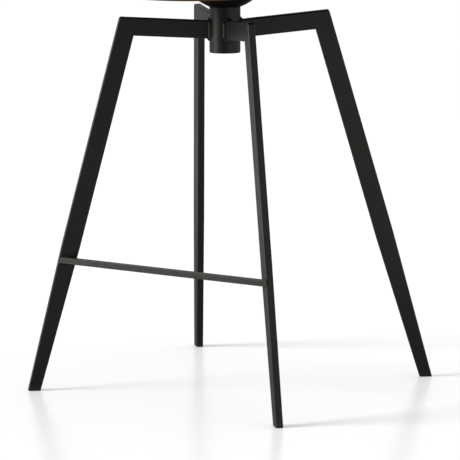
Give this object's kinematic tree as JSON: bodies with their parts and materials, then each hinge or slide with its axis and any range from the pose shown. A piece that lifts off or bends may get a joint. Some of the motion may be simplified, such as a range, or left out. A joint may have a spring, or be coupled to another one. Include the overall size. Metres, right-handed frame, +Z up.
{
  "type": "swivel counter stool",
  "caption": "Backless counter stool: a moulded brown wooden seat swivels on a black steel base with splayed, tapering flat-tube legs and a front footrest bar.",
  "frame": {"origin": "on the floor, at the middle of the footprint of the feet", "axes": "+Z up; +X along the footrest, to the right as seen from the front; -Y to the front, where the footrest is"},
  "size_m": [0.5024, 0.4845, 0.6874],
  "materials": {
    "black_coat": "satin",
    "matt_black": "matte",
    "black_plastic": "matte",
    "bush_nylon": "matte",
    "brass": "satin",
    "bright_steel": "satin",
    "pale_plywood": "matte",
    "brown_veneer": "satin"
  },
  "bodies": {
    "base": {"hub_tube": "black_coat", "hub_cap": "black_plastic", "upper_bush": "bush_nylon", "lower_bush": "bush_nylon", "thrust_washer": "black_plastic", "arm_front_left": "black_coat", "leg_front_left": "black_coat", "foot_plug_front_left": "black_plastic", "arm_front_right": "black_coat", "leg_front_right": "black_coat", "foot_plug_front_right": "black_plastic", "arm_back_left": "black_coat", "leg_back_left": "black_coat", "foot_plug_back_left": "black_plastic", "arm_back_right": "black_coat", "leg_back_right": "black_coat", "foot_plug_back_right": "black_plastic", "footrest_bar": "black_coat", "hub_welds": "black_coat", "footrest_welds": "black_coat"},
    "seat": {"swivel_boss": "matt_black", "spindle": "bright_steel", "retaining_washer": "bright_steel", "retaining_ring": "bright_steel", "seat_plate": "matt_black", "plate_washers": "bright_steel", "plate_bolts": "bright_steel", "seat_inserts": "brass", "seat_block": "pale_plywood", "seat_shell": "brown_veneer"}
  },
  "joints": [
    {"name": "seat_swivel", "type": "hinge", "parent": "base", "child": "seat", "pos_m": [0, -0.02629, 0.6], "axis": [0, 0, 1], "continuous": true}
  ]
}
